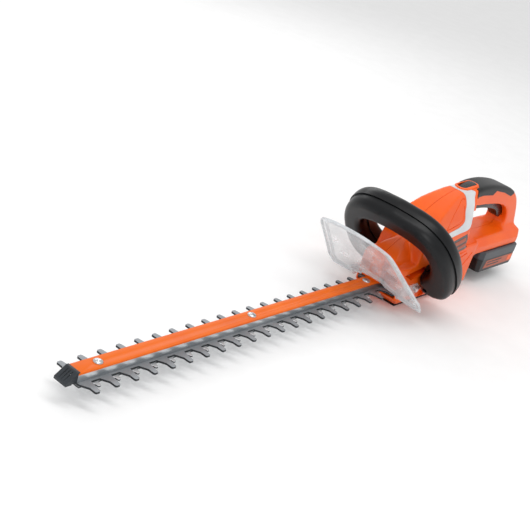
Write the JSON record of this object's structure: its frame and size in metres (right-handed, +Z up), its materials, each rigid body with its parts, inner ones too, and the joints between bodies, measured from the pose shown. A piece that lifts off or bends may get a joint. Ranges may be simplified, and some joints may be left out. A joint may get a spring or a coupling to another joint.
{
  "type": "hedge trimmer",
  "caption": "Cordless hedge trimmer with double-acting toothed blades, crank drive, bail handle, clear hand guard, rear D handle, trigger, lock-off and slide-in battery.",
  "frame": {"origin": "centre of the overall box, on the resting plane under the skid", "axes": "+X from the blade tip to the rear handle, +Y the operator's right, +Z up"},
  "size_m": [0.9183, 0.1802, 0.1572],
  "materials": {
    "orange_plastic": "moulded satin",
    "black_plastic": "moulded fine grain",
    "grip_rubber": "overmoulded matt",
    "stripe_plastic": "painted inlay",
    "badge_film": null,
    "tooth_steel": "ground and stamped",
    "bar_steel": "rolled channel",
    "cover_plastic": "extruded strip",
    "fastener_steel": "zinc plated",
    "cap_rubber": "moulded",
    "case_alloy": "die cast",
    "gear_steel": "machined",
    "bush_bronze": "sintered",
    "motor_steel": "drawn can",
    "winding": "laminations with copper windings",
    "dark_plastic": "moulded",
    "spring_steel": "drawn wire",
    "wire_cover": "insulated wire",
    "clear_plastic": "clear polycarbonate",
    "pack_dark": "moulded",
    "pack_grey": "moulded",
    "label_film": null,
    "cell_steel": "sleeved steel cells",
    "contact_brass": "stamped"
  },
  "bodies": {
    "body": {"blade_bar": "bar_steel", "blade_cover": "cover_plastic", "blade_screws": "fastener_steel", "blade_spacers": "fastener_steel", "blade_nuts": "fastener_steel", "tip_cap": "cap_rubber", "gear_case_lower": "case_alloy", "gear_case_upper": "case_alloy", "case_screws": "fastener_steel", "crank_bearings": "bar_steel", "motor_bushes": "bush_bronze", "motor_can": "motor_steel", "motor_end_cap": "dark_plastic", "left_housing": "orange_plastic", "right_housing": "orange_plastic", "housing_screws": "fastener_steel", "left_stripe": "stripe_plastic", "right_stripe": "stripe_plastic", "left_badge": "badge_film", "right_badge": "badge_film", "skid_plate": "black_plastic", "skid_screws": "fastener_steel", "grip_overmould": "grip_rubber", "lock_off_spring": "spring_steel", "trigger_pin": "fastener_steel", "trigger_spring": "spring_steel", "switch_body": "dark_plastic", "switch_plunger": "spring_steel", "power_wires": "wire_cover", "terminal_block": "dark_plastic", "bail_front_shell": "black_plastic", "bail_rear_shell": "black_plastic", "bail_screws": "fastener_steel", "bail_mount_screws": "fastener_steel", "guard": "clear_plastic", "guard_screws": "fastener_steel"},
    "upper_blade": {"upper_blade": "tooth_steel"},
    "lower_blade": {"lower_blade": "tooth_steel"},
    "crank": {"crank_gear": "gear_steel", "crank_shaft": "fastener_steel"},
    "motor_rotor": {"pinion_gear": "gear_steel", "motor_shaft": "fastener_steel", "motor_armature": "winding", "cooling_fan": "dark_plastic"},
    "trigger": {"trigger": "black_plastic"},
    "lock_off": {"lock_off_button": "black_plastic"},
    "battery": {"battery_lower_case": "pack_dark", "battery_upper_case": "pack_grey", "battery_labels": "label_film", "battery_cells": "cell_steel", "battery_contacts": "contact_brass", "latch_spring": "spring_steel"},
    "latch": {"battery_latch": "dark_plastic"}
  },
  "joints": [
    {"name": "crank_turn", "type": "hinge", "parent": "body", "child": "crank", "pos_m": [0.1615, 0, 0.0244], "axis": [0, 0, 1], "range_deg": [-90, 90]},
    {"name": "upper_blade_slide", "type": "slide", "parent": "body", "child": "upper_blade", "axis": [1, 0, 0], "range_m": [-0.0068, 0.0068]},
    {"name": "lower_blade_slide", "type": "slide", "parent": "body", "child": "lower_blade", "axis": [1, 0, 0], "range_m": [-0.0068, 0.0068]},
    {"name": "motor_spin", "type": "hinge", "parent": "body", "child": "motor_rotor", "pos_m": [0.1915, 0, 0.0244], "axis": [0, 0, 1], "range_deg": [-360, 360]},
    {"name": "trigger_squeeze", "type": "hinge", "parent": "body", "child": "trigger", "pos_m": [0.4025, 0, 0.1074], "axis": [0, 1, 0], "range_deg": [0, 4], "stiffness_Nm_per_rad": 4, "springref_deg": -2.86, "deforming": ["trigger_spring"]},
    {"name": "lock_off_press", "type": "slide", "parent": "body", "child": "lock_off", "axis": [0, 0, -1], "range_m": [0, 0.004], "stiffness_N_per_m": 700, "springref_m": -0.003, "deforming": ["lock_off_spring"]},
    {"name": "battery_slide", "type": "slide", "parent": "body", "child": "battery", "axis": [1, 0, 0], "range_m": [0, 0.125]},
    {"name": "latch_press", "type": "slide", "parent": "battery", "child": "latch", "axis": [-1, 0, 0], "range_m": [0, 0.003], "stiffness_N_per_m": 900, "springref_m": -0.002, "deforming": ["latch_spring"]}
  ],
  "couplings": [
    {"joint": "upper_blade_slide", "follows": "crank_turn", "m_per_rad": -0.0042972},
    {"joint": "lower_blade_slide", "follows": "crank_turn", "m_per_rad": 0.0042972},
    {"joint": "motor_spin", "follows": "crank_turn", "ratio": -4}
  ]
}
